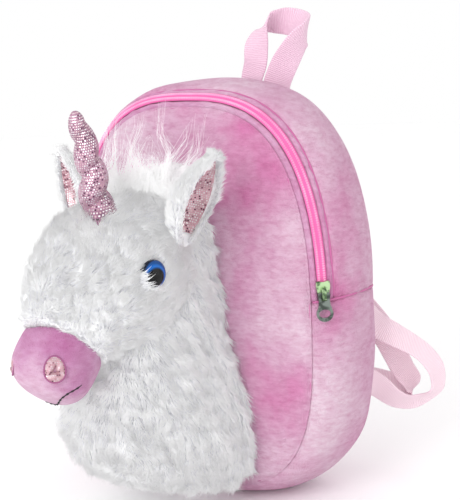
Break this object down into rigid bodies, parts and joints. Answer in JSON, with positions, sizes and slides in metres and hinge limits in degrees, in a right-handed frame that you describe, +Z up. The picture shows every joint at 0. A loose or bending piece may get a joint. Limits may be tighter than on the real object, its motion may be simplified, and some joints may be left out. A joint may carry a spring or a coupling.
{
  "type": "children's plush backpack",
  "caption": "Small oval pink plush backpack with a stuffed white unicorn head and chest on its front, an arched zip, a webbing carry loop and webbing shoulder straps.",
  "frame": {"origin": "inside the top of the carry loop, just under the webbing, where a hand or a hook bears", "axes": "+Z up, the animal looks along -Y, the wearer's back is at +Y, and +X is on the right of someone who looks at the animal's face"},
  "size_m": [0.2545, 0.3009, 0.3474],
  "materials": {
    "pink_plush": "matte",
    "pale_pink_plush": "matte",
    "zip_coil": "satin",
    "gunmetal": "gloss",
    "white_fur": "matte",
    "muzzle_plush": "matte",
    "eye_plastic": "gloss",
    "dotted_fabric": "satin",
    "pink_webbing": "matte"
  },
  "bodies": {
    "bag": {"front_panel": "pink_plush", "back_panel": "pink_plush", "front_strip": "pale_pink_plush", "zip_chain": "zip_coil", "rear_strip": "pale_pink_plush", "gusset_upper": "pink_plush", "gusset_lower": "pink_plush", "zip_slider": "gunmetal", "neck": "white_fur", "head": "white_fur", "muzzle": "muzzle_plush", "eye_left": "eye_plastic", "nostril_left": "dotted_fabric", "ear_left": "white_fur", "ear_lining_left": "dotted_fabric", "eye_right": "eye_plastic", "nostril_right": "dotted_fabric", "ear_right": "white_fur", "ear_lining_right": "dotted_fabric", "horn": "dotted_fabric", "mane": "white_fur", "carry_loop": "pink_webbing", "strap_right": "pink_webbing", "strap_left": "pink_webbing"},
    "pull": {"zip_pull": "gunmetal"}
  },
  "joints": [
    {"name": "pull_swing", "type": "hinge", "parent": "bag", "child": "pull", "pos_m": [0.08305, -0.07746, -0.17254], "axis": [-0.7246, -0.6886, -0.0281], "range_deg": [0, 150]}
  ]
}
